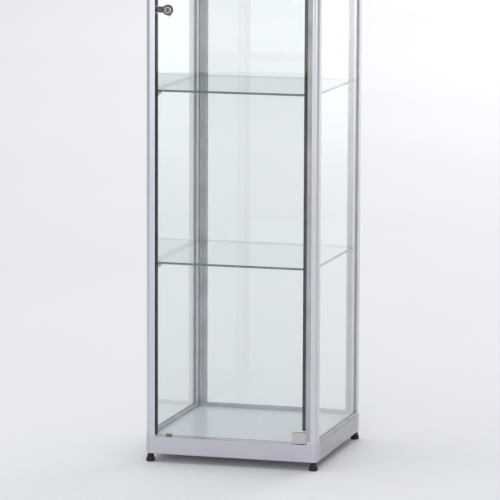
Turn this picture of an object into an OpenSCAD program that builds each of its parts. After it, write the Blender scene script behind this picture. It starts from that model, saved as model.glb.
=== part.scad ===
// Free-standing glass display case: a tower with an aluminium frame, four glass
// shelves and one lockable glass door that swings on pivots at its right side.
// Millimetres. +Z is up, the door faces -Y, the origin is on the floor under the
// middle of the case.

/* [Case] */
// Outside width of the base
case_w = 400; // [360:10:600]
// Outside depth of the base
case_d = 400; // [360:10:600]
// Height of the frame, from the underside of its base rails to its top
frame_h = 2000; // [1700:10:2200]

/* [Frame] */
// Height of the base and top rails
rail_h = 40; // [36:1:60]
// Outside radius of the base and top corners
corner_r = 12; // [9:0.5:12]
// Radius of the outer edge round the underside and the top
edge_r = 2; // [0.5:0.5:3]
// How far the base and top stand out past the posts
frame_lip = 1; // [0.5:0.1:1.2]
// Width of a post's front face
post_face = 22; // [20:0.5:24]
// Thickness of the floor and top boards
board_t = 13; // [8:1:16]

/* [Glass] */
// Thickness of the door, the side panes and the rear pane
pane_t = 5; // [4:0.5:5]
// Thickness of a shelf
shelf_t = 5; // [4:0.5:6]

/* [Shelves] */
// Height of the lowest shelf's top above the underside of the frame
shelf_first = 435; // [300:5:450]
// Distance from one shelf to the next
shelf_pitch = 388; // [250:2:390]

/* [Door] */
// Distance of the pivot axis from the right outside face
pivot_in = 36; // [36:1:44]
// Distance of the pivot axis from the front outside face
pivot_back = 8; // [7.5:0.5:8]
// Width of a hinge clamp
clamp_w = 33.5; // [28:0.5:44]
// Height of a hinge clamp
clamp_h = 25; // [20:1:40]

/* [Lock] */
// Height of the lock above the underside of the frame
lock_h = 1002; // [900:2:1100]
// Distance of the lock from the left outside face
lock_in = 52; // [50:1:70]
// Outside radius of the lock's bezel
bezel_r = 12; // [11:0.5:14]

/* [Feet] */
// Height of the frame above the floor with the feet screwed in
foot_h = 19; // [18:1:30]
// Radius of a foot's pad
pad_r = 10; // [8:0.5:10]

/* [Hidden] */

// Corners of the case as [side, depth] signs: -1 is left or front, 1 is right or rear
FL = [-1, -1];
FR = [1, -1];
RL = [-1, 1];
RR = [1, 1];
CORNERS = [FL, FR, RL, RR];

// A corner takes corner_w of the width and corner_d of the depth
wall = 14;            // width of a rail and distance of a post's inner face
corner_w = frame_lip + post_face;
corner_d = 28;
skin = 2;             // wall thickness of the extrusions
chamber_r = 7;        // radius of a post's chamber behind its rounded corner
flange_t = 2.2;       // thickness of a post's face flange
body_w = wall - frame_lip;
body_d = corner_d - frame_lip;

// Glass and its grooves, measured in from the outside faces
groove_gap = 1;       // gasket on each side of a pane
pane_in = 4.4;        // outer face of a side pane
groove_d = 7.5;       // depth of the groove in a post
rear_in = frame_lip + flange_t + groove_gap; // outer face of the rear pane
channel_h = 7.5;      // height of the glazing channel on a rail
channel_floor = 2;    // its solid bottom
gasket_out = 0.8;     // how far a gasket shows past its groove
gasket_end = 0.5;     // distance from a gasket's end to the channel
bead_w = 18;          // rear glazing bead along the pane
bead_d = 2.8;         // and away from it
bead_web_t = 0.8;     // thickness of the web between its two ribs
bead_rib_w = 6.5;

// Groove in a post's inner face that the shelf clips slide in
track_v = 23;         // its centre from the front or rear outside face
track_w = 4;
track_d = 1.6;
track_play = 0.3;

// Boards lie on a ledge of the rails
ledge_w = 8;
ledge_t = 3;
board_gap = 0.5;

// Tenon of a corner that plugs into a post, and the screw that pins it
tenon_h = 25;
tenon_gap = 0.3;
screw_r = 1.6;
screw_hole_r = 1.7;
screw_head_r = 3;
screw_head_t = 1.8;
screw_l = 8;
screw_front_v = 6.5;  // distance of a tenon screw from the front face
screw_rear_v = 15;    // and from the rear face
screw_up = 12;        // and from the end of the post

// Door
pane_front = pivot_back - pane_t / 2; // distance of its front face from the base's front
pane_back = pivot_back + pane_t / 2;
door_side_gap = 1.5;  // beside the lock side's post
door_past_pivot = 9.5; // width of glass past the pivot axis
door_end_gap = 3;     // glass above the base rail
clamp_gap = 1.3;      // clamp above the base rail
clamp_past_pivot = 11.5;
clamp_front_t = 3;
clamp_back_t = 4;
clamp_web_t = 1.5;
clamp_edge = 0.8;
hinge_pad_t = 0.5;
pin_r = 2.5;
pin_play = 0.05;
pin_down = 9;         // how far a pin reaches into its rail
bush_r = 4.2;
bush_flange_r = 6;
bush_flange_t = 1;
clamp_screw_r = 2;
clamp_screw_head_r = 3.4;
clamp_screw_head_t = 2;
clamp_screw_at = [3, 16]; // distances of the two screws from the pivot axis
clamp_screw_up = 14.5;
glass_hole_r = 4.5;

// Seals and stop
seal_gap = 0.3;
seal_t = 1.5;
seal_foot_t = 2;
lock_seal_w = 13;
hinge_seal_w = 24;
hinge_seal_back = 18.2;
hinge_seal_foot = [14.5, 19.7];
lock_seal_foot = [11, 18];
seal_end_gap = 2.5;
strip_u = [15.5, 25.5]; // grey strip on the hinge side's post, from the right face
strip_t = 0.8;
stop_l = 14;
stop_h = 6.5;
stop_in = 46;         // distance of the stop from the left face

// Lock, along its axis from the glass's front face
barrel_r = 8;
barrel_hole_r = 8.3;
bezel_t = 3.2;
bezel_round = 1.2;
ring_r = 8.2;
ring_in_r = 5.4;
ring_seat = 1.4;
ring_proud = 0.5;
plug_r = 5;
plug_proud = 3;
key_slot = [1.6, 6.4];
key_slot_d = 3;
washer_r = 10.5;
washer_t = 0.6;
nut_across = 18;
nut_t = 2.8;
barrel_back = 8.7;
plug_back = 8.9;
cam_t = 2;
cam_w = 9;
cam_reach = 15.5;
cam_screw_r = 2;
cam_screw_head_r = 3.6;
keeper_t = 2;
keeper_h = 14;
keeper_reach = 40.6;  // distance of the keeper's end from the left face
keeper_foot = [11, 19.5];
keeper_screw_v = 16.2;
keeper_screw_scale = 0.75; // size of its screws, taking a frame screw as 1

// Shelves and their clips
shelf_side_gap = 0.8;
shelf_front = 20;
shelf_rear = 12.5;
clip_w = 17;
clip_v = [20.2, 28];
clip_h = 12;
clip_floor_h = 4;     // solid height of a clip below the shelf's step

// Feet
foot_at = [10, 10.5];
stud_r = 3;
stud_play = 0.05;
stud_into = 22;
stud_hole_d = 30;
nut_h = 3;
jam_across = 10;
nut_gap = 0.3;
stud_seat = 4;

$fn = 64;

// Distance of a hexagon's corner from its centre, from its width across the flats
function hex_r(across) = across / sqrt(3);

// Height of a shelf's top above the underside of the frame
function shelf_top(n) = shelf_first + (n - 1) * shelf_pitch;

// Lifts children from the frame's underside to their height above the floor
module in_frame() {
    translate([0, 0, foot_h]) children();
}

// Puts children drawn as x inwards, y inwards from a corner into that corner
module at_corner(c) {
    in_frame()
        translate([c[0] * case_w / 2, c[1] * case_d / 2, 0])
            mirror([c[0] > 0 ? 1 : 0, 0, 0])
                mirror([0, c[1] > 0 ? 1 : 0, 0])
                    children();
}

// Turns children over, so that what stands on the base hangs from the top
module top_down() {
    translate([0, 0, frame_h]) mirror([0, 0, 1]) children();
}

// Rectangle from the origin whose corner at the origin is rounded
module corner_square(w, d, r) {
    translate([r, 0]) square([w - r, d]);
    translate([0, r]) square([w, d - r]);
    intersection() {
        translate([r, r]) circle(r);
        square(r);
    }
}

// ---- frame ----

// Hollow rail with its board ledge: x inwards, y up
module rail_profile(ledge_z) {
    difference() {
        corner_square(wall, rail_h, edge_r);
        translate([skin, skin]) square([wall - 2 * skin, rail_h - 2 * skin]);
    }
    translate([wall, ledge_z]) square([ledge_w, ledge_t]);
}

// Rail of length l with its outside face on y = 0, centred on x
module rail(l, ledge_z) {
    translate([-l / 2, 0, 0])
        rotate([90, 0, 90])
            linear_extrude(l) rail_profile(ledge_z);
}

base_ledge_z = rail_h - board_t - ledge_t;
front_rail_l = case_w - 2 * corner_w;
side_rail_l = case_d - 2 * corner_d;

// Front or rear rail: side is -1 at the front, 1 at the rear
module cross_rail(side, ledge_z) {
    rotate([0, 0, side > 0 ? 180 : 0])
        translate([0, -case_d / 2, 0])
            rail(front_rail_l, ledge_z);
}

// Left or right rail: side is -1 at the left, 1 at the right
module side_rail(side, ledge_z) {
    rotate([0, 0, side > 0 ? 90 : -90])
        translate([0, -case_w / 2, 0])
            rail(side_rail_l, ledge_z);
}

// Place of a hinge pin in the frame's coordinates
pivot_x = case_w / 2 - pivot_in;
pivot_y = -case_d / 2 + pivot_back;

// Bore for a hinge bush, from the rail's top down
module bush_bore() {
    translate([pivot_x, pivot_y, rail_h - pin_down])
        cylinder(r = bush_r, h = pin_down + 1);
}

module base_rail_front() {
    color("silver")
        in_frame() difference() {
            cross_rail(-1, base_ledge_z);
            bush_bore();
        }
}

module base_rail_rear() {
    color("silver") in_frame() cross_rail(1, base_ledge_z);
}

module base_rail_left() {
    color("silver") in_frame() side_rail(-1, base_ledge_z);
}

module base_rail_right() {
    color("silver") in_frame() side_rail(1, base_ledge_z);
}

module top_rail_front() {
    color("silver")
        in_frame() top_down() difference() {
            cross_rail(-1, board_t);
            bush_bore();
        }
}

module top_rail_rear() {
    color("silver") in_frame() top_down() cross_rail(1, board_t);
}

module top_rail_left() {
    color("silver") in_frame() top_down() side_rail(-1, board_t);
}

module top_rail_right() {
    color("silver") in_frame() top_down() side_rail(1, board_t);
}

// Chamber of a post, smaller by gap all round
module chamber_profile(gap) {
    edge = frame_lip + skin + gap;
    shrink = 2 * (skin + gap);
    translate([edge, edge])
        corner_square(body_w - shrink, body_d - groove_d - shrink, chamber_r - gap);
}

function screw_v(c) = c[1] < 0 ? screw_front_v : screw_rear_v;

// What a rounded outer edge leaves over: x inwards from the outside face, y up
module edge_waste() {
    difference() {
        translate([-1, -1]) square(edge_r + 1);
        translate([edge_r, edge_r]) circle(edge_r);
    }
}

// The same along a corner block's two straight sides and round its corner
module corner_edge_waste() {
    translate([corner_r, 0, 0])
        rotate([90, 0, 90])
            linear_extrude(corner_w) edge_waste();
    translate([0, corner_r, 0])
        mirror([1, -1, 0])
            rotate([90, 0, 90])
                linear_extrude(corner_d) edge_waste();
    intersection() {
        translate([corner_r, corner_r, 0])
            rotate_extrude()
                translate([corner_r, 0]) mirror([1, 0]) edge_waste();
        translate([-1, -1, -1]) cube(corner_r + 1);
    }
}

// Cast corner block with the tenon for its post
module corner_block(c) {
    difference() {
        union() {
            linear_extrude(rail_h) {
                corner_square(wall, corner_d, corner_r);
                translate([corner_r, 0]) square([corner_w - corner_r, wall]);
            }
            linear_extrude(rail_h + tenon_h) chamber_profile(tenon_gap);
        }
        corner_edge_waste();
        translate([wall - screw_l, screw_v(c), rail_h + screw_up])
            rotate([0, 90, 0])
                cylinder(r = screw_r, h = screw_l);
    }
}

module base_corners() {
    color("silver")
        for (c = CORNERS)
            at_corner(c) difference() {
                corner_block(c);
                translate([foot_at[0], foot_at[1], -1])
                    cylinder(r = stud_r + stud_play, h = stud_hole_d + 1);
            }
}

module top_corners() {
    color("silver")
        for (c = CORNERS) at_corner(c) top_down() corner_block(c);
}

// Extruded post: rounded hollow body, face flange, groove for the side pane and
// track for the shelf clips
module post_profile() {
    difference() {
        union() {
            translate([frame_lip, frame_lip])
                corner_square(body_w, body_d, corner_r - frame_lip);
            translate([wall - skin, frame_lip])
                square([corner_w - wall + skin, flange_t]);
        }
        chamber_profile(0);
        translate([pane_in - groove_gap, corner_d - groove_d])
            square([pane_t + 2 * groove_gap, groove_d + 1]);
        translate([wall - track_d, track_v - track_w / 2])
            square([track_d + 1, track_w]);
    }
}

// Screw holes of a post, one for the tenon at each end
module post_screw_holes(c) {
    for (z = [rail_h + screw_up, frame_h - rail_h - screw_up])
        translate([wall - skin - 1, screw_v(c), z])
            rotate([0, 90, 0])
                cylinder(r = screw_hole_r, h = skin + 2);
}

// Puts children at the two screws of the keeper, on a post's inner face
module at_keeper_screws() {
    for (side = [-1, 1])
        translate([wall, keeper_screw_v, lock_h + side * keeper_h / 4])
            children();
}

module post(c) {
    color("gainsboro")
        at_corner(c) difference() {
            translate([0, 0, rail_h])
                linear_extrude(frame_h - 2 * rail_h) post_profile();
            post_screw_holes(c);
            if (c == FL)
                at_keeper_screws()
                    translate([-skin - 1, 0, 0])
                        rotate([0, 90, 0])
                            cylinder(r = keeper_screw_scale * screw_hole_r, h = skin + 2);
        }
}

module post_front_left() {
    post(FL);
}

module post_front_right() {
    post(FR);
}

module post_rear_left() {
    post(RL);
}

module post_rear_right() {
    post(RR);
}

// Pan-head screw driven outwards along -x from x = 0
module pan_screw() {
    rotate([0, 90, 0]) {
        difference() {
            cylinder(r = screw_head_r, h = screw_head_t);
            translate([0, 0, screw_head_t / 2])
                cylinder(r = screw_head_r / 2, h = screw_head_t, $fn = 6);
        }
        translate([0, 0, -screw_l + 1]) cylinder(r = screw_r, h = screw_l - 1);
    }
}

module frame_screws() {
    color("darkgray") {
        for (c = CORNERS, z = [rail_h + screw_up, frame_h - rail_h - screw_up])
            at_corner(c) translate([wall, screw_v(c), z]) pan_screw();
        at_corner(FL)
            at_keeper_screws()
                translate([keeper_t, 0, 0])
                    scale(keeper_screw_scale) pan_screw();
    }
}

// Board that fills the base or the top between the rails
module board(z) {
    w = case_w - 2 * (wall + board_gap);
    d = case_d - 2 * (wall + board_gap);
    translate([-w / 2, -d / 2, z]) cube([w, d, board_t]);
}

module floor_panel() {
    color("lightsteelblue") in_frame() board(rail_h - board_t);
}

module top_panel() {
    color("lightsteelblue") in_frame() top_down() board(0);
}

// ---- fixed glass ----

pane_z = rail_h + channel_floor;
pane_h = frame_h - 2 * pane_z;
side_pane_d = case_d - 2 * (corner_d - groove_d + groove_gap);
rear_pane_w = case_w - 2 * (wall + groove_gap);

module side_pane(side) {
    color("lightcyan", 0.4)
        in_frame()
            translate([side * (case_w / 2 - pane_in - pane_t / 2), 0, pane_z + pane_h / 2])
                cube([pane_t, side_pane_d, pane_h], center = true);
}

module glass_left() {
    side_pane(-1);
}

module glass_right() {
    side_pane(1);
}

module glass_rear() {
    color("lightcyan", 0.4)
        in_frame()
            translate([0, case_d / 2 - rear_in - pane_t / 2, pane_z + pane_h / 2])
                cube([rear_pane_w, pane_t, pane_h], center = true);
}

// Glazing channel as a profile: x across from the outside face, y up
module channel_profile(outer, inner, groove) {
    difference() {
        translate([outer, 0]) square([inner - outer, channel_h]);
        translate([groove, channel_floor]) square([pane_t, channel_h]);
    }
}

// Channels on the base rail and under the top rail, centred on x
module channel_pair(l, outer, groove) {
    for (z = [0, 1])
        translate([0, 0, z * frame_h])
            mirror([0, 0, z])
                translate([-l / 2, 0, rail_h])
                    rotate([90, 0, 90])
                        linear_extrude(l) channel_profile(outer, wall, groove);
}

gasket_z = rail_h + channel_h + gasket_end;
gasket_l = frame_h - 2 * gasket_z;

// Gaskets on both faces of a side pane in the groove of one post
module side_gasket() {
    for (u = [pane_in - groove_gap, pane_in + pane_t])
        translate([u, corner_d - groove_d, gasket_z])
            cube([groove_gap, groove_d + gasket_out, gasket_l]);
}

module side_glazing(side) {
    color("gray") {
        in_frame()
            rotate([0, 0, side > 0 ? 90 : -90])
                translate([0, -case_w / 2, 0])
                    channel_pair(side_rail_l, frame_lip, pane_in);
        for (depth = [-1, 1]) at_corner([side, depth]) side_gasket();
    }
}

module glazing_left() {
    side_glazing(-1);
}

module glazing_right() {
    side_glazing(1);
}

// Tape behind the face flange and two-ribbed bead inside the pane, along one rear post
module rear_gasket() {
    tape_w = corner_w - wall - groove_gap;
    translate([wall + groove_gap, rear_in - groove_gap, gasket_z])
        cube([tape_w, groove_gap, gasket_l]);
    translate([wall, rear_in + pane_t, gasket_z]) {
        cube([bead_w, bead_web_t, gasket_l]);
        cube([bead_rib_w, bead_d, gasket_l]);
        translate([bead_w - bead_rib_w, 0, 0]) cube([bead_rib_w, bead_d, gasket_l]);
    }
}

module glazing_rear() {
    color("gray") {
        in_frame()
            rotate([0, 0, 180])
                translate([0, -case_d / 2, 0])
                    channel_pair(case_w - 2 * wall, frame_lip + flange_t, rear_in);
        at_corner(RL) rear_gasket();
        at_corner(RR) rear_gasket();
    }
}

// ---- door ----

door_left = -case_w / 2 + corner_w + door_side_gap;
door_right = pivot_x + door_past_pivot;
door_z = rail_h + door_end_gap;
clamp_z = rail_h + clamp_gap;
clamp_left = clamp_past_pivot - clamp_w;
lock_x = -case_w / 2 + lock_in;
front_y = -case_d / 2;

// Repeats children at the lower hinge and, turned over, at the upper one
module both_hinges() {
    in_frame() {
        children();
        top_down() children();
    }
}

// Puts children at the pivot axis, on the underside of a clamp
module at_clamp() {
    translate([pivot_x, front_y, clamp_z]) children();
}

// A cylinder along +y from y = start
module along_y(x, z, start, r, l) {
    translate([x, start, z]) rotate([-90, 0, 0]) cylinder(r = r, h = l);
}

// The two screw places of a clamp, as cylinders along +y
module clamp_screw_rods(start, r, l) {
    for (d = clamp_screw_at) along_y(-d, clamp_screw_up, start, r, l);
}

module door_glass() {
    color("lightcyan", 0.4)
        difference() {
            in_frame()
                translate([door_left, front_y + pane_front, door_z])
                    cube([door_right - door_left, pane_t, frame_h - 2 * door_z]);
            both_hinges() at_clamp() clamp_screw_rods(0, glass_hole_r, wall);
            in_frame() along_y(lock_x, lock_h, front_y, barrel_hole_r, wall);
        }
}

// Front plate with the web that passes under the glass and holds the pin
module clamp_front() {
    face = pane_front - hinge_pad_t - clamp_front_t;
    web_d = pane_back + hinge_pad_t - face;
    difference() {
        union() {
            linear_extrude(clamp_h)
                translate([clamp_left, face])
                    polygon([
                        [clamp_edge, 0], [clamp_w - clamp_edge, 0],
                        [clamp_w, clamp_edge], [clamp_w, clamp_front_t],
                        [0, clamp_front_t], [0, clamp_edge]
                    ]);
            translate([clamp_left, face + clamp_edge, 0])
                cube([clamp_w, web_d - clamp_edge, clamp_web_t]);
        }
        translate([0, pivot_back, -1]) cylinder(r = pin_r, h = clamp_web_t + 2);
        clamp_screw_rods(face + 1, clamp_screw_r + pin_play, clamp_front_t);
    }
}

module hinge_clamp_lower() {
    color("silver") in_frame() at_clamp() clamp_front();
}

module hinge_clamp_upper() {
    color("silver") in_frame() top_down() at_clamp() clamp_front();
}

module clamp_back() {
    difference() {
        translate([clamp_left, pane_back + hinge_pad_t, clamp_web_t])
            cube([clamp_w, clamp_back_t, clamp_h - clamp_web_t]);
        clamp_screw_rods(0, clamp_screw_r + pin_play, 2 * wall);
    }
}

module hinge_back_lower() {
    color("silver") in_frame() at_clamp() clamp_back();
}

module hinge_back_upper() {
    color("silver") in_frame() top_down() at_clamp() clamp_back();
}

module hinge_pads() {
    low = door_end_gap - clamp_gap;
    color("dimgray")
        both_hinges() at_clamp()
            for (y = [pane_front - hinge_pad_t, pane_back])
                difference() {
                    translate([clamp_left, y, low])
                        cube([door_past_pivot - clamp_left, hinge_pad_t, clamp_h - low]);
                    clamp_screw_rods(0, clamp_screw_r + pin_play, 2 * wall);
                }
}

module hinge_screws() {
    tip = pane_front - hinge_pad_t - clamp_front_t + 1;
    seat = pane_back + hinge_pad_t + clamp_back_t;
    color("darkgray")
        both_hinges() at_clamp() difference() {
            union() {
                clamp_screw_rods(tip, clamp_screw_r, seat - tip);
                clamp_screw_rods(seat, clamp_screw_head_r, clamp_screw_head_t);
            }
            for (d = clamp_screw_at)
                translate([-d, seat + 1, clamp_screw_up])
                    rotate([-90, 0, 0])
                        cylinder(r = clamp_screw_r / 1.3, h = clamp_screw_head_t, $fn = 6);
        }
}

module hinge_pins() {
    color("silver")
        both_hinges()
            translate([pivot_x, pivot_y, rail_h - pin_down + 1])
                cylinder(r = pin_r, h = pin_down - 1 + clamp_gap + clamp_web_t);
}

module hinge_bushes() {
    color("black")
        both_hinges() difference() {
            union() {
                translate([pivot_x, pivot_y, rail_h - pin_down])
                    cylinder(r = bush_r, h = pin_down);
                translate([pivot_x, pivot_y, rail_h])
                    cylinder(r = bush_flange_r, h = bush_flange_t);
            }
            translate([pivot_x, pivot_y, rail_h - pin_down + 0.5])
                cylinder(r = pin_r + pin_play, h = pin_down + bush_flange_t);
        }
}

// Seal profile from a post's inner face: foot on the post, lip behind the door
module seal_profile(foot, lip_y, lip_w) {
    translate([wall, foot[0]]) square([seal_foot_t, foot[1] - foot[0]]);
    translate([wall, lip_y]) square([lip_w, seal_t]);
}

// Strip of the door's lock side, cut out for the keeper
module door_seal_lock_side() {
    low = rail_h + seal_end_gap;
    cut = keeper_h / 2 + 1;
    color("black")
        at_corner(FL)
            for (span = [[low, lock_h - cut], [lock_h + cut, frame_h - low]])
                translate([0, 0, span[0]])
                    linear_extrude(span[1] - span[0])
                        seal_profile(lock_seal_foot, pane_back + seal_gap, lock_seal_w);
}

// Strip of the door's hinge side, which ends clear of the turning clamps
module door_seal_hinge_side() {
    low = clamp_z + clamp_h + 2;
    color("black")
        at_corner(FR)
            translate([0, 0, low])
                linear_extrude(frame_h - 2 * low)
                    seal_profile(hinge_seal_foot, hinge_seal_back, hinge_seal_w);
}

// Flat strip on the front of the hinge side's post
module hinge_side_strip() {
    color("gray")
        at_corner(FR)
            translate([strip_u[0], frame_lip - strip_t, gasket_z])
                cube([strip_u[1] - strip_u[0], strip_t, gasket_l]);
}

// Soft stop on the base rail behind the door
module door_stop() {
    color("wheat")
        in_frame()
            translate([-case_w / 2 + stop_in, front_y + pane_back + seal_gap, rail_h])
                cube([stop_l, wall - pane_back - seal_gap, stop_h]);
}

// ---- lock ----

// Lock axis along +z from the glass's front face, turned into the door
module at_lock() {
    in_frame()
        translate([lock_x, front_y + pane_front, lock_h])
            rotate([-90, 0, 0])
                children();
}

module lock_body() {
    color("dimgray")
        at_lock() rotate_extrude($fn = 96) difference() {
            union() {
                translate([0, -bezel_t + bezel_round]) square([bezel_r, bezel_t - bezel_round]);
                translate([0, -bezel_t]) square([bezel_r - bezel_round, bezel_t]);
                translate([bezel_r - bezel_round, -bezel_t + bezel_round]) circle(bezel_round);
                square([barrel_r, barrel_back]);
            }
            translate([-1, -bezel_t - 1]) square([plug_r + pin_play + 1, bezel_t + barrel_back + 2]);
            translate([-1, -bezel_t - 1]) square([ring_r + 1, ring_seat + 1]);
            translate([-bezel_r, -bezel_t - 1]) square([bezel_r, bezel_t + barrel_back + 2]);
        }
}

module lock_ring() {
    front = -bezel_t - ring_proud;
    color("white")
        at_lock() rotate_extrude($fn = 96)
            polygon([
                [ring_in_r, -bezel_t + ring_seat], [ring_in_r, front + 0.6],
                [ring_in_r + 0.6, front], [ring_r - 1.4, front],
                [ring_r, front + 1], [ring_r, -bezel_t + ring_seat]
            ]);
}

// Nut behind the glass with its washer
module lock_nut() {
    color("gray")
        at_lock() difference() {
            union() {
                translate([0, 0, pane_t]) cylinder(r = washer_r, h = washer_t);
                translate([0, 0, pane_t + washer_t])
                    cylinder(r = hex_r(nut_across), h = nut_t, $fn = 6);
            }
            cylinder(r = barrel_r, h = 2 * pane_t);
        }
}

module lock_plug() {
    color("white")
        at_lock() difference() {
            translate([0, 0, -plug_proud]) cylinder(r = plug_r, h = plug_proud + plug_back);
            translate([-key_slot[0] / 2, -key_slot[1] / 2, -plug_proud - 1])
                cube([key_slot[0], key_slot[1], key_slot_d + 1]);
            translate([0, 0, plug_back - 6]) cylinder(r = cam_screw_r, h = 7);
        }
}

// Flat cam, hanging from the plug when the lock is open
module lock_cam() {
    color("darkgray")
        at_lock()
            translate([0, 0, plug_back]) linear_extrude(cam_t) difference() {
                union() {
                    circle(plug_r + 1);
                    translate([-cam_w / 2, 0]) square([cam_w, cam_reach - cam_w / 2]);
                    translate([0, cam_reach - cam_w / 2]) circle(cam_w / 2);
                }
                circle(cam_screw_r);
            }
}

module lock_cam_screw() {
    color("darkgray")
        at_lock() {
            translate([0, 0, plug_back - 6]) cylinder(r = cam_screw_r, h = 6 + cam_t);
            translate([0, 0, plug_back + cam_t]) difference() {
                cylinder(r = cam_screw_head_r, h = 2);
                translate([0, 0, 1]) cylinder(r = cam_screw_head_r / 2, h = 2, $fn = 6);
            }
        }
}

// Angle plate on the left post that the cam turns behind
module lock_keeper() {
    color("black")
        at_corner(FL)
            difference() {
                translate([0, 0, lock_h - keeper_h / 2]) linear_extrude(keeper_h) {
                    translate([wall, pane_back + 2 * seal_gap])
                        square([keeper_reach - wall, keeper_t]);
                    translate([wall, keeper_foot[0]])
                        square([keeper_t, keeper_foot[1] - keeper_foot[0]]);
                }
                at_keeper_screws()
                    translate([-1, 0, 0])
                        rotate([0, 90, 0])
                            cylinder(r = keeper_screw_scale * screw_hole_r, h = keeper_t + 2);
            }
}

// ---- shelves ----

module shelf(n) {
    w = case_w - 2 * (wall + shelf_side_gap);
    d = case_d - shelf_front - shelf_rear;
    color("lightcyan", 0.5)
        in_frame()
            translate([-w / 2, front_y + shelf_front, shelf_top(n) - shelf_t])
                cube([w, d, shelf_t]);
}

// Clear clip: a bevelled block under the shelf's corner with a foot in the track
module clip() {
    x0 = wall + track_play;
    x1 = x0 + clip_w;
    translate([0, clip_v[1], 0])
        rotate([90, 0, 0])
            linear_extrude(clip_v[1] - clip_v[0])
                polygon([
                    [x0, 0], [x1, 0], [x1, -clip_floor_h],
                    [x0 + clip_floor_h, -clip_h], [x0, -clip_h]
                ]);
    foot_w = track_w - 2 * track_play;
    translate([wall - track_d + track_play, track_v - foot_w / 2, -clip_h])
        cube([track_d, foot_w, clip_h]);
}

module shelf_clips(n) {
    color("whitesmoke", 0.7)
        for (c = CORNERS)
            at_corner(c) translate([0, 0, shelf_top(n) - shelf_t]) clip();
}

module shelf_1() {
    shelf(1);
}

module shelf_2() {
    shelf(2);
}

module shelf_3() {
    shelf(3);
}

module shelf_4() {
    shelf(4);
}

module shelf_clips_1() {
    shelf_clips(1);
}

module shelf_clips_2() {
    shelf_clips(2);
}

module shelf_clips_3() {
    shelf_clips(3);
}

module shelf_clips_4() {
    shelf_clips(4);
}

// ---- feet ----

// Round pad with a narrower collar, its underside on the floor
module foot_pad(c) {
    top = foot_h - nut_h - nut_gap;
    color("black")
        at_corner(c)
            translate([foot_at[0], foot_at[1], -foot_h])
                rotate_extrude()
                    polygon([
                        [0, 0], [pad_r - 1, 0], [pad_r, 1], [pad_r, 7.5],
                        [pad_r - 0.6, 8.6], [pad_r - 1.8, 9.3], [pad_r - 2.2, 10.4],
                        [pad_r - 2.4, top], [stud_r, top], [stud_r, stud_seat], [0, stud_seat]
                    ]);
}

module foot_stud(c) {
    color("darkgray")
        at_corner(c)
            translate([foot_at[0], foot_at[1], -foot_h + stud_seat])
                cylinder(r = stud_r, h = foot_h - stud_seat + stud_into);
}

module foot_pad_fl() {
    foot_pad(FL);
}

module foot_pad_fr() {
    foot_pad(FR);
}

module foot_pad_rl() {
    foot_pad(RL);
}

module foot_pad_rr() {
    foot_pad(RR);
}

module foot_stud_fl() {
    foot_stud(FL);
}

module foot_stud_fr() {
    foot_stud(FR);
}

module foot_stud_rl() {
    foot_stud(RL);
}

module foot_stud_rr() {
    foot_stud(RR);
}

// Jam nuts that lock the studs against the underside of the corners
module foot_nuts() {
    color("dimgray")
        for (c = CORNERS)
            at_corner(c)
                translate([foot_at[0], foot_at[1], -nut_h]) difference() {
                    cylinder(r = hex_r(jam_across), h = nut_h, $fn = 6);
                    translate([0, 0, -1]) cylinder(r = stud_r + stud_play, h = nut_h + 2);
                }
}

base_rail_front();
base_rail_rear();
base_rail_left();
base_rail_right();
base_corners();
floor_panel();
post_front_left();
post_front_right();
post_rear_left();
post_rear_right();
top_rail_front();
top_rail_rear();
top_rail_left();
top_rail_right();
top_corners();
top_panel();
frame_screws();
glass_left();
glass_right();
glass_rear();
glazing_left();
glazing_right();
glazing_rear();
door_glass();
door_seal_lock_side();
door_seal_hinge_side();
hinge_side_strip();
door_stop();
hinge_clamp_lower();
hinge_clamp_upper();
hinge_back_lower();
hinge_back_upper();
hinge_pads();
hinge_screws();
hinge_pins();
hinge_bushes();
lock_body();
lock_ring();
lock_nut();
lock_plug();
lock_cam();
lock_cam_screw();
lock_keeper();
shelf_1();
shelf_2();
shelf_3();
shelf_4();
shelf_clips_1();
shelf_clips_2();
shelf_clips_3();
shelf_clips_4();
foot_pad_fl();
foot_pad_fr();
foot_pad_rl();
foot_pad_rr();
foot_stud_fl();
foot_stud_fr();
foot_stud_rl();
foot_stud_rr();
foot_nuts();
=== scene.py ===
import math

import bmesh
import bpy
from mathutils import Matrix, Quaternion, Vector


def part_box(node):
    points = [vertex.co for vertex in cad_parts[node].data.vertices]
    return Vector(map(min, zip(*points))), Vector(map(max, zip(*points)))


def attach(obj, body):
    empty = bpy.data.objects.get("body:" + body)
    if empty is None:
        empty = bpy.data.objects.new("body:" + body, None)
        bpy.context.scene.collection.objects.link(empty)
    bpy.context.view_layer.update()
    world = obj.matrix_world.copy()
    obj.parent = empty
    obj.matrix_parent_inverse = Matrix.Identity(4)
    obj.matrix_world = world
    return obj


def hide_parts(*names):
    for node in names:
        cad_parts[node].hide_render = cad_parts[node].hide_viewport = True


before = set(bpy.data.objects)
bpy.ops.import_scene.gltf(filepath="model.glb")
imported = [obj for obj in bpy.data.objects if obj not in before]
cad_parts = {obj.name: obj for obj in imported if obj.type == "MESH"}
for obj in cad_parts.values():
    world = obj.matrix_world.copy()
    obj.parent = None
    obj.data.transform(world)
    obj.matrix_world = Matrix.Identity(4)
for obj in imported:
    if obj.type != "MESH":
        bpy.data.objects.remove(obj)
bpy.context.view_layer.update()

MM = 0.001


# ---------------------------------------------------------------- materials

CONTRAST = (0.3, 0.7)  # the stretch of a noise's values that a ramp spreads over its ends


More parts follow.
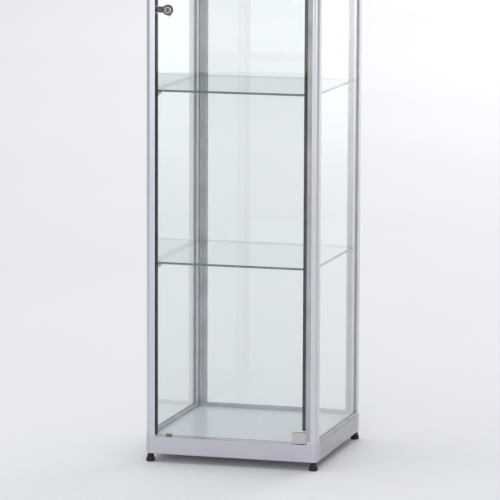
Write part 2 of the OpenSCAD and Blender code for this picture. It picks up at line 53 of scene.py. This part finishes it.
class Shader:
    """A material's node tree, with short ways to add what the materials here share."""

    def __init__(self, name):
        self.mat = bpy.data.materials.new(name)
        self.mat.use_nodes = True
        self.tree = self.mat.node_tree
        self.bsdf = self.tree.nodes["Principled BSDF"]
        self.out = self.tree.nodes["Material Output"]
        self.place = self.add("ShaderNodeTexCoord").outputs["Object"]

    def add(self, kind, **settings):
        node = self.tree.nodes.new(kind)
        for key, value in settings.items():
            setattr(node, key, value)
        return node

    def feed(self, value, socket):
        """Puts a number, or another node's output, into a socket."""
        if isinstance(value, float):
            socket.default_value = value
        else:
            self.tree.links.new(value, socket)

    def calc(self, operation, first, second):
        node = self.add("ShaderNodeMath", operation=operation)
        self.feed(first, node.inputs[0])
        self.feed(second, node.inputs[1])
        return node.outputs["Value"]

    def noise(self, per_metre, detail=2.0):
        """Noise with per_metre = (x, y, z) repeats along each axis of the frame."""
        mapping = self.add("ShaderNodeMapping")
        mapping.inputs["Scale"].default_value = per_metre
        self.feed(self.place, mapping.inputs["Vector"])
        noise = self.add("ShaderNodeTexNoise")
        noise.inputs["Scale"].default_value = 1.0
        noise.inputs["Detail"].default_value = detail
        self.feed(mapping.outputs["Vector"], noise.inputs["Vector"])
        return noise.outputs["Fac"]

    def ramp(self, value, low, high):
        """A colour between low and high, by a noise's value."""
        ramp = self.add("ShaderNodeValToRGB")
        for element, at, colour in zip(ramp.color_ramp.elements, CONTRAST, (low, high)):
            element.position = at
            element.color = (*colour, 1.0)
        self.feed(value, ramp.inputs["Fac"])
        return ramp.outputs["Color"]

    def between(self, value, low, high, span=CONTRAST):
        """A number between low and high, by where the value is in the span."""
        mapped = self.add("ShaderNodeMapRange")
        for key, number in zip(("From Min", "From Max", "To Min", "To Max"), (*span, low, high)):
            mapped.inputs[key].default_value = number
        self.feed(value, mapped.inputs["Value"])
        return mapped.outputs["Result"]

    def bump(self, height, depth, strength=1.0, shader=None):
        """Relief of that depth in metres on the shader's normal."""
        bump = self.add("ShaderNodeBump")
        bump.inputs["Strength"].default_value = strength
        bump.inputs["Distance"].default_value = depth
        self.feed(height, bump.inputs["Height"])
        self.feed(bump.outputs["Normal"], (shader or self.bsdf).inputs["Normal"])

    def backfacing(self):
        """1 where a face is seen from inside its piece, and 0 where it is seen from outside."""
        return self.add("ShaderNodeNewGeometry").outputs["Backfacing"]

    def see_through(self, colour=(1.0, 1.0, 1.0)):
        clear = self.add("ShaderNodeBsdfTransparent")
        clear.inputs["Color"].default_value = (*colour, 1.0)
        return clear

    def show_mix(self, first, second, share):
        """Ends the material in a mix of two shaders, with that share of the second."""
        mix = self.add("ShaderNodeMixShader")
        self.feed(share, mix.inputs["Fac"])
        self.feed(first.outputs["BSDF"], mix.inputs[1])
        self.feed(second.outputs["BSDF"], mix.inputs[2])
        self.feed(mix.outputs["Shader"], self.out.inputs["Surface"])


def even(size):
    return (size, size, size)


def shade(colour, by):
    return tuple(c * by for c in colour)


def around(value, share):
    """The numbers that lie below and above a value by that share of it."""
    return value * (1 - share), value * (1 + share)


def satin(name, colour, roughness, grain, metallic=1.0, depth=0.00002):
    """Anodised or plated metal, with a fine grain in its gloss and slow clouds in its colour."""
    s = Shader(name)
    fine, clouds = s.noise(grain, 3.0), s.noise(even(7.0))
    blend = s.add("ShaderNodeMix", data_type="FLOAT")
    blend.inputs["Factor"].default_value = 0.4
    s.feed(fine, blend.inputs[2])
    s.feed(clouds, blend.inputs[3])
    s.feed(s.ramp(blend.outputs[0], shade(colour, 0.97), shade(colour, 1.03)),
           s.bsdf.inputs["Base Color"])
    s.feed(s.between(fine, *around(roughness, 0.12)), s.bsdf.inputs["Roughness"])
    s.bump(fine, depth)
    s.bsdf.inputs["Metallic"].default_value = metallic
    return s.mat


def rubber(name, colour, roughness):
    """Rubber or matt plastic with a fine moulded grain."""
    s = Shader(name)
    fine, clouds = s.noise(even(900.0)), s.noise(even(20.0), 3.0)
    s.feed(s.ramp(clouds, shade(colour, 0.88), shade(colour, 1.12)), s.bsdf.inputs["Base Color"])
    s.feed(s.between(fine, *around(roughness, 0.15)), s.bsdf.inputs["Roughness"])
    s.bump(fine, 0.00004)
    s.bsdf.inputs["Specular IOR Level"].default_value = 0.4
    return s.mat


def board(name, colour):
    """Laminated board: even tone with a soft pearl relief and a satin sheen."""
    s = Shader(name)
    pearl, clouds = s.noise(even(320.0)), s.noise(even(3.0))
    s.feed(s.ramp(clouds, shade(colour, 0.975), shade(colour, 1.02)), s.bsdf.inputs["Base Color"])
    s.feed(s.between(pearl, 0.20, 0.28), s.bsdf.inputs["Roughness"])
    s.bump(pearl, 0.00001)
    s.bsdf.inputs["Specular IOR Level"].default_value = 0.5
    return s.mat


def pane(name, tint):
    """Clear sheet glass: a faint tint straight through, and mirrors more the flatter it is seen.

    What both faces of a sheet of reflectance r send back together, 2r / (1 + r), is put on the
    face that is met first."""
    s = Shader(name)
    s.tree.nodes.remove(s.bsdf)
    clouds = s.noise(even(2.5), 1.0)
    clear = s.see_through()
    s.feed(s.ramp(clouds, shade(tint, 0.994), tint), clear.inputs["Color"])
    gloss = s.add("ShaderNodeBsdfGlossy", distribution="GGX")
    gloss.inputs["Color"].default_value = (1.0, 1.0, 1.0, 1.0)
    s.feed(s.between(clouds, 0.004, 0.012), gloss.inputs["Roughness"])
    s.bump(s.noise(even(5.0), 1.0), 0.0002, 0.35, gloss)
    fresnel = s.add("ShaderNodeFresnel")
    fresnel.inputs["IOR"].default_value = 1.43
    once = fresnel.outputs["Fac"]
    both = s.calc("DIVIDE", s.calc("MULTIPLY", once, 2.0), s.calc("ADD", once, 1.0))
    from_outside = s.calc("SUBTRACT", 1.0, s.backfacing())
    s.show_mix(clear, gloss, s.calc("MULTIPLY", both, from_outside))
    return s.mat


def glass_edge(name, dark, light, solid, seen_through):
    """Polished edge of sheet glass, with its share of solid colour from outside and from inside."""
    s = Shader(name)
    streaks = s.noise(even(60.0))
    s.feed(s.ramp(streaks, dark, light), s.bsdf.inputs["Base Color"])
    s.feed(s.between(streaks, 0.08, 0.22), s.bsdf.inputs["Roughness"])
    s.bump(s.noise(even(700.0)), 0.00002)
    share = s.between(s.backfacing(), solid, seen_through, (0.0, 1.0))
    s.show_mix(s.see_through((0.86, 0.95, 0.91)), s.bsdf, share)
    return s.mat


def clear_plastic(name, tint, body, share):
    """Slightly cloudy clear plastic: part see-through, part pale body, with a soft gloss."""
    s = Shader(name)
    clouds = s.noise(even(180.0))
    s.feed(s.ramp(clouds, shade(body, 0.93), shade(body, 1.05)), s.bsdf.inputs["Base Color"])
    s.feed(s.between(clouds, 0.16, 0.28), s.bsdf.inputs["Roughness"])
    s.bump(s.noise(even(500.0)), 0.00003)
    s.show_mix(s.see_through(tint), s.bsdf, share)
    return s.mat


# The second colour is SILVER darkened, as painted shade on the side rails along y that face the
# shadowed floor beside the case.
SILVER, SIDE_SILVER_PAINTED_SHADE, POST_SILVER = (0.61, 0.605, 0.66), (0.50, 0.495, 0.505), (0.67, 0.67, 0.71)
LONG, ACROSS = 4.0, 1500.0  # repeats per metre of an extrusion's grain, along and across it
FINE_DEPTH = 0.000005  # relief of a polished metal, in metres

MATERIALS = {
    "rail_x": satin("rail_along_x", SILVER, 0.36, (LONG, ACROSS, ACROSS), 0.85),
    # Painted shade: the rails along y take the darkened copy of the frame silver.
    "rail_y": satin("rail_along_y_painted_shade", SIDE_SILVER_PAINTED_SHADE, 0.36, (ACROSS, LONG, ACROSS), 0.85),
    "corner": satin("cast_corner", SILVER, 0.36, even(ACROSS), 0.85),
    "post": satin("post_anodised", POST_SILVER, 0.30, (ACROSS, ACROSS, LONG), 0.95),
    "board": board("board_laminate", (0.70, 0.73, 0.78)),
    "pane": pane("pane_clear", (0.970, 0.982, 0.980)),
    "shelf": pane("shelf_clear", (0.970, 0.984, 0.980)),
    "shelf_edge": glass_edge("shelf_edge", (0.085, 0.16, 0.13), (0.13, 0.23, 0.19), 0.96, 0.35),
    # Painted reflection: the pale tone of the panes' seated edges stands in for the panes' bright
    # reflection seen at a grazing angle, over the real glass edge.
    "seated_edge_painted_reflection": glass_edge("seated_edge_painted_reflection", (0.74, 0.77, 0.79), (0.82, 0.84, 0.86), 0.95, 0.3),
    "door_edge": glass_edge("door_edge", (0.085, 0.09, 0.10), (0.14, 0.145, 0.16), 0.95, 0.5),
    "clip": clear_plastic("clip_plastic", (0.93, 0.95, 0.96), (0.62, 0.66, 0.70), 0.5),
    "pad": clear_plastic("pad_plastic", (0.9, 0.92, 0.92), (0.55, 0.58, 0.6), 0.5),
    "glazing": rubber("glazing_grey", (0.52, 0.525, 0.545), 0.45),
    "strip": rubber("strip_grey", (0.43, 0.42, 0.435), 0.5),
    "seal": rubber("seal_black", (0.016, 0.016, 0.018), 0.45),
    "stop": rubber("stop_beige", (0.42, 0.37, 0.30), 0.5),
    "keeper": rubber("keeper_black", (0.012, 0.012, 0.013), 0.55),
    "foot": rubber("foot_black", (0.014, 0.014, 0.015), 0.38),
    "nickel": satin("hinge_nickel", (0.60, 0.57, 0.54), 0.30, even(1200.0)),
    "lock_dark": satin("lock_dark", (0.10, 0.095, 0.10), 0.26, even(1200.0), 0.9),
    "lock_chrome": satin("lock_chrome", (0.52, 0.49, 0.49), 0.14, even(900.0), 1.0, FINE_DEPTH),
    # The plug is chrome like the ring, darkened here as painted shade of its keyhole's recess.
    "lock_plug": satin("lock_plug", (0.20, 0.175, 0.17), 0.26, even(900.0), 1.0, FINE_DEPTH),
    "steel": satin("bright_steel", (0.52, 0.52, 0.53), 0.28, even(1500.0)),
}


# ---------------------------------------------------------------- CAD nodes that stay

# Each CAD node: its material here, the record's slot, and how far its sharp edges are eased in mm
KEPT = {
    "floor_panel": ("board", "board_silver", 0),
    "top_panel": ("board", "board_silver", 0),
    "frame_screws": ("steel", "bright_steel", 0),
    "door_seal_lock_side": ("seal", "seal_black", 0),
    "door_seal_hinge_side": ("seal", "seal_black", 0),
    "hinge_side_strip": ("strip", "glazing_grey", 0.2),
    "door_stop": ("stop", "stop_beige", 0.8),
    "hinge_pads": ("pad", "pad_clear", 0),
    "hinge_screws": ("steel", "bright_steel", 0),
    "hinge_pins": ("steel", "bright_steel", 0),
    "hinge_bushes": ("foot", "foot_black", 0),
    "lock_body": ("lock_dark", "lock_dark", 0),
    "lock_ring": ("lock_chrome", "lock_chrome", 0),
    "lock_nut": ("steel", "bright_steel", 0.3),
    "lock_plug": ("lock_plug", "lock_chrome", 0),
    "lock_cam": ("steel", "bright_steel", 0.25),
    "lock_cam_screw": ("steel", "bright_steel", 0),
    "lock_keeper": ("keeper", "keeper_black", 0.3),
    "foot_nuts": ("foot", "foot_black", 0.3),
}
for level in ("base", "top"):
    KEPT[f"{level}_corners"] = ("corner", "frame_aluminium", 0)
    for side, along in (("front", "x"), ("rear", "x"), ("left", "y"), ("right", "y")):
        KEPT[f"{level}_rail_{side}"] = (f"rail_{along}", "frame_aluminium", 0)
for corner in ("front_left", "front_right", "rear_left", "rear_right"):
    KEPT[f"post_{corner}"] = ("post", "post_aluminium", 0)
for side in ("left", "right", "rear"):
    KEPT[f"glazing_{side}"] = ("glazing", "glazing_grey", 0)
for n in range(1, 5):
    KEPT[f"shelf_clips_{n}"] = ("clip", "clip_clear", 0.5)
for corner in ("fl", "fr", "rl", "rr"):
    KEPT[f"foot_pad_{corner}"] = ("foot", "foot_black", 0)
    KEPT[f"foot_stud_{corner}"] = ("steel", "bright_steel", 0)

WELD_WITHIN = 0.00001
SHARP_ANGLE = math.radians(40)


def ease(obj, width):
    """Softens an object's sharp edges by that width in metres."""
    weld = obj.modifiers.new("weld", "WELD")
    weld.merge_threshold = WELD_WITHIN
    bevel = obj.modifiers.new("bevel", "BEVEL")
    bevel.width = width
    bevel.segments = 2
    bevel.limit_method = "ANGLE"
    bevel.angle_limit = SHARP_ANGLE
    bevel.harden_normals = True


for name, (material, slot, eased) in KEPT.items():
    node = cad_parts[name]
    node.data.materials.clear()
    node.data.materials.append(MATERIALS[material])
    if eased:
        ease(node, eased * MM)


# ---------------------------------------------------------------- pieces built here

EASE_STEPS, CORNER_STEPS, CIRCLE_STEPS = 3, 6, 40
PLANES = ((1, 2), (2, 0), (0, 1))  # the two axes across each axis, in right-handed order


def circle(centre, radius):
    points = []
    for i in range(CIRCLE_STEPS):
        angle = 2 * math.pi * i / CIRCLE_STEPS
        points.append((centre[0] + radius * math.cos(angle), centre[1] + radius * math.sin(angle)))
    return points


def rounded(low, high, radius):
    """Rectangle with rounded corners as a loop of points."""
    points = []
    for cx, cy, start in (
        (high[0] - radius, high[1] - radius, 0), (low[0] + radius, high[1] - radius, 1),
        (low[0] + radius, low[1] + radius, 2), (high[0] - radius, low[1] + radius, 3),
    ):
        for i in range(CORNER_STEPS + 1):
            angle = (start + i / CORNER_STEPS) * math.pi / 2
            points.append((cx + radius * math.cos(angle), cy + radius * math.sin(angle)))
    return points


def eased_levels(low, high, ease_by):
    """Levels from low to high, each with how far the rounded edge draws the outline in there."""
    levels = []
    for i in range(EASE_STEPS + 1):
        angle = i / EASE_STEPS * math.pi / 2
        levels.append((low + ease_by * (1 - math.cos(angle)), ease_by * (1 - math.sin(angle))))
    return levels + [(low + high - at, cut) for at, cut in reversed(levels)]


def add_plate(bm, low, high, axis, ease_by, radius, holes=()):
    """A plate that fills a box and is thin along axis, with rounded edges, corners and holes.

    Holes are ((a, b), radius) on the two axes across. Faces on its sides have index 1."""
    a, b = PLANES[axis]
    rings = []
    for at, cut in eased_levels(low[axis], high[axis], ease_by):
        corner = radius - cut
        loops = [rounded((low[a] + cut, low[b] + cut), (high[a] - cut, high[b] - cut), corner)]
        loops += [circle(centre, hole_radius + cut) for centre, hole_radius in holes]
        made = []
        for loop in loops:
            ring = []
            for p, q in loop:
                place = [0.0, 0.0, 0.0]
                place[a], place[b], place[axis] = p, q, at
                ring.append(bm.verts.new(place))
            made.append(ring)
        rings.append(made)
    for lower, upper in zip(rings, rings[1:]):
        for one, two in zip(lower, upper):
            join_rings(bm, one, two)
    for made in (rings[0], rings[-1]):
        if holes:
            fill_around_holes(bm, made)
        else:
            bm.faces.new(made[0])


def join_rings(bm, one, two):
    """A band of smooth side faces between two rings of as many points."""
    for i in range(len(one)):
        j = (i + 1) % len(one)
        face = bm.faces.new((one[i], one[j], two[j], two[i]))
        face.material_index = 1
        face.smooth = True


def fill_around_holes(bm, rings):
    edges = []
    for ring in rings:
        for i in range(len(ring)):
            edges.append(bm.edges.get((ring[i], ring[(i + 1) % len(ring)])))
    bmesh.ops.triangle_fill(bm, edges=edges, use_beauty=True, use_dissolve=False)


def piece(name, bm, materials, body, slot, *stands_for):
    """Turns a bmesh into a piece that rides on a body in place of CAD nodes."""
    bmesh.ops.recalc_face_normals(bm, faces=bm.faces)
    mesh = bpy.data.meshes.new(name)
    bm.to_mesh(mesh)
    bm.free()
    obj = bpy.data.objects.new(name, mesh)
    bpy.context.scene.collection.objects.link(obj)
    for material in materials:
        mesh.materials.append(MATERIALS[material])
    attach(obj, body)
    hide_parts(*stands_for)


def middle(node):
    low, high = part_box(node)
    return (low + high) / 2


# Sheet glass: its eased edge and corner radius, and the hole that the lock passes through
SHEET_EDGE, SHEET_CORNER, LOCK_HOLE_RADIUS = 0.6 * MM, 1.0 * MM, 8.3 * MM

# Hinge clamps: thickness of the front plate and of its web, and radius of the pin's hole
CLAMP_PLATE, CLAMP_WEB, PIN_HOLE_RADIUS = 3 * MM, 1.5 * MM, 2.5 * MM
PLATE_EDGE, PLATE_CORNER = 0.8 * MM, 1.2 * MM
WEB_EDGE, WEB_CORNER = 0.3 * MM, 0.4 * MM


def glass_sheet(name, node, axis, body, faces, slot, holes=()):
    low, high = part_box(node)
    bm = bmesh.new()
    add_plate(bm, low, high, axis, SHEET_EDGE, SHEET_CORNER, holes)
    piece(name, bm, faces, body, slot, node)


def fixed_panes():
    """The panes at the left, right and rear, whose edges sit in the grey glazing."""
    for side, axis in (("left", 0), ("right", 0), ("rear", 1)):
        glass_sheet(f"pane_{side}", f"glass_{side}", axis, "frame", ("pane", "seated_edge_painted_reflection"),
                    "pane_glass")


def shelves():
    for n in range(1, 5):
        glass_sheet(f"shelf_glass_{n}", f"shelf_{n}", 2, f"shelf_{n}_set", ("shelf", "shelf_edge"),
                    "shelf_glass")


def door_pane():
    lock = middle("lock_ring")
    glass_sheet("door_pane", "door_glass", 1, "door", ("pane", "door_edge"), "pane_glass",
                [((lock.z, lock.x), LOCK_HOLE_RADIUS)])


def hinge_plate(end):
    """Front plate of a hinge clamp with the web under or over the glass."""
    low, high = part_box(f"hinge_clamp_{end}")
    pin = middle("hinge_pins")
    bm = bmesh.new()
    back = Vector((high.x, low.y + CLAMP_PLATE, high.z))
    add_plate(bm, low, back, 1, PLATE_EDGE, PLATE_CORNER)
    first = low.z if end == "lower" else high.z - CLAMP_WEB
    web_low = Vector((low.x, low.y + PLATE_EDGE, first))
    web_high = Vector((high.x, high.y, first + CLAMP_WEB))
    add_plate(bm, web_low, web_high, 2, WEB_EDGE, WEB_CORNER, [((pin.x, pin.y), PIN_HOLE_RADIUS)])
    piece(f"hinge_plate_{end}", bm, ("nickel", "nickel"), "door", "hinge_nickel",
          f"hinge_clamp_{end}")


def hinge_rear(end):
    """Plate behind the glass that the clamp's screws pull on."""
    low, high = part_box(f"hinge_back_{end}")
    bm = bmesh.new()
    add_plate(bm, low, high, 1, PLATE_EDGE, PLATE_CORNER)
    piece(f"hinge_rear_{end}", bm, ("nickel", "nickel"), "door", "hinge_nickel",
          f"hinge_back_{end}")


fixed_panes()
shelves()
door_pane()
for end in ("lower", "upper"):
    hinge_plate(end)
    hinge_rear(end)


# ---------------------------------------------------------------- studio

FLOOR_HALF = 90.0
BRIGHT_TOWARD = (-0.45, 0.6, 0.66)  # the studio is brightest behind the case, left and up
# Colour of the studio from opposite that direction, 0, to along it, 1
SKY = ((0.15, (0.44, 0.455, 0.49)), (0.70, (0.50, 0.51, 0.54)), (0.90, (0.92, 0.93, 0.95)))
SKY_STRENGTH = 0.85


def floor_material():
    s = Shader("studio_floor")
    clouds = s.noise(even(0.6))
    s.feed(s.ramp(clouds, (0.80, 0.81, 0.83), (0.82, 0.83, 0.85)), s.bsdf.inputs["Base Color"])
    s.feed(s.between(clouds, 0.55, 0.65), s.bsdf.inputs["Roughness"])
    s.bsdf.inputs["Specular IOR Level"].default_value = 0.25
    return s.mat


def studio_world():
    """Soft light from all round that grows from one side of the studio to the other."""
    world = bpy.data.worlds.new("studio")
    bpy.context.scene.world = world
    world.use_nodes = True
    tree = world.node_tree
    background = tree.nodes["Background"]
    background.inputs["Strength"].default_value = SKY_STRENGTH
    coords = tree.nodes.new("ShaderNodeTexCoord")
    toward = tree.nodes.new("ShaderNodeVectorMath")
    toward.operation = "DOT_PRODUCT"
    toward.inputs[1].default_value = BRIGHT_TOWARD
    span = tree.nodes.new("ShaderNodeMapRange")
    span.inputs["From Min"].default_value = -1.0
    sky = tree.nodes.new("ShaderNodeValToRGB")
    tones = sky.color_ramp.elements
    tones.remove(tones[1])
    for n, (at, colour) in enumerate(SKY):
        tone = tones.new(at) if n else tones[0]
        tone.position = at
        tone.color = (*colour, 1.0)
    tree.links.new(coords.outputs["Generated"], toward.inputs[0])
    tree.links.new(toward.outputs["Value"], span.inputs["Value"])
    tree.links.new(span.outputs["Result"], sky.inputs["Fac"])
    tree.links.new(sky.outputs["Color"], background.inputs["Color"])


def softbox(name, place, target, size, power, on, colour=(1.0, 1.0, 1.0)):
    """Rectangular lamp, out of the camera's sight, that lights only "diffuse" or "glossy"."""
    data = bpy.data.lights.new(name, "AREA")
    data.shape = "RECTANGLE"
    data.size, data.size_y = size
    data.energy = power
    data.color = colour
    lamp = bpy.data.objects.new(name, data)
    bpy.context.scene.collection.objects.link(lamp)
    lamp.location = place
    lamp.rotation_euler = (Vector(target) - Vector(place)).to_track_quat("-Z", "Y").to_euler()
    lamp.visible_camera = False
    lamp.visible_diffuse = on == "diffuse"
    lamp.visible_glossy = on == "glossy"


bm = bmesh.new()
bmesh.ops.create_grid(bm, x_segments=8, y_segments=8, size=FLOOR_HALF)
floor_mesh = bpy.data.meshes.new("studio_floor")
bm.to_mesh(floor_mesh)
bm.free()
floor = bpy.data.objects.new("studio_floor", floor_mesh)
floor_mesh.materials.append(floor_material())
bpy.context.scene.collection.objects.link(floor)

studio_world()
softbox("overhead", (-0.8, -0.3, 6.0), (0.0, 0.0, 0.0), (4.5, 4.5), 86.0, "diffuse")
softbox("front", (0.6, -7.0, 2.4), (0.0, 0.0, 1.0), (3.0, 3.0), 150.0, "diffuse")
softbox("panel_left", (-1.3, -4.2, 1.95), (0.0, 0.0, 1.4), (2.6, 3.0), 29.0, "glossy")
softbox("panel_right", (2.9, -3.4, 1.95), (0.0, 0.0, 1.4), (3.2, 3.0), 42.0, "glossy")
softbox("back", (3.5, 13.5, 6.0), (1.5, 13.0, 0.0), (16.0, 8.0), 1150.0, "diffuse",
        (1.0, 0.99, 0.965))


# ---------------------------------------------------------------- camera

CAMERA_AT = Vector((2.2062, -7.8951, 1.6633))
TURN, TILT, ROLL = 0.27388, 0.1454, -0.0040  # left of +Y, down and clockwise, in radians
SENSOR_WIDTH, LENS = 36.0, 262.0  # in mm
NEAREST, FARTHEST = 0.1, 300.0


def aim_camera():
    data = bpy.data.cameras.new("camera")
    data.sensor_width = SENSOR_WIDTH
    data.lens = LENS
    data.clip_start, data.clip_end = NEAREST, FARTHEST
    camera = bpy.data.objects.new("camera", data)
    bpy.context.scene.collection.objects.link(camera)
    level = Vector((-math.sin(TURN), math.cos(TURN), 0.0)) * math.cos(TILT)
    ahead = Vector((level.x, level.y, -math.sin(TILT)))
    aim = ahead.to_track_quat("-Z", "Y")
    aim.rotate(Quaternion(ahead, ROLL))
    camera.location = CAMERA_AT
    camera.rotation_mode = "QUATERNION"
    camera.rotation_quaternion = aim
    bpy.context.scene.camera = camera


aim_camera()
bpy.context.scene.view_settings.view_transform = "Standard"
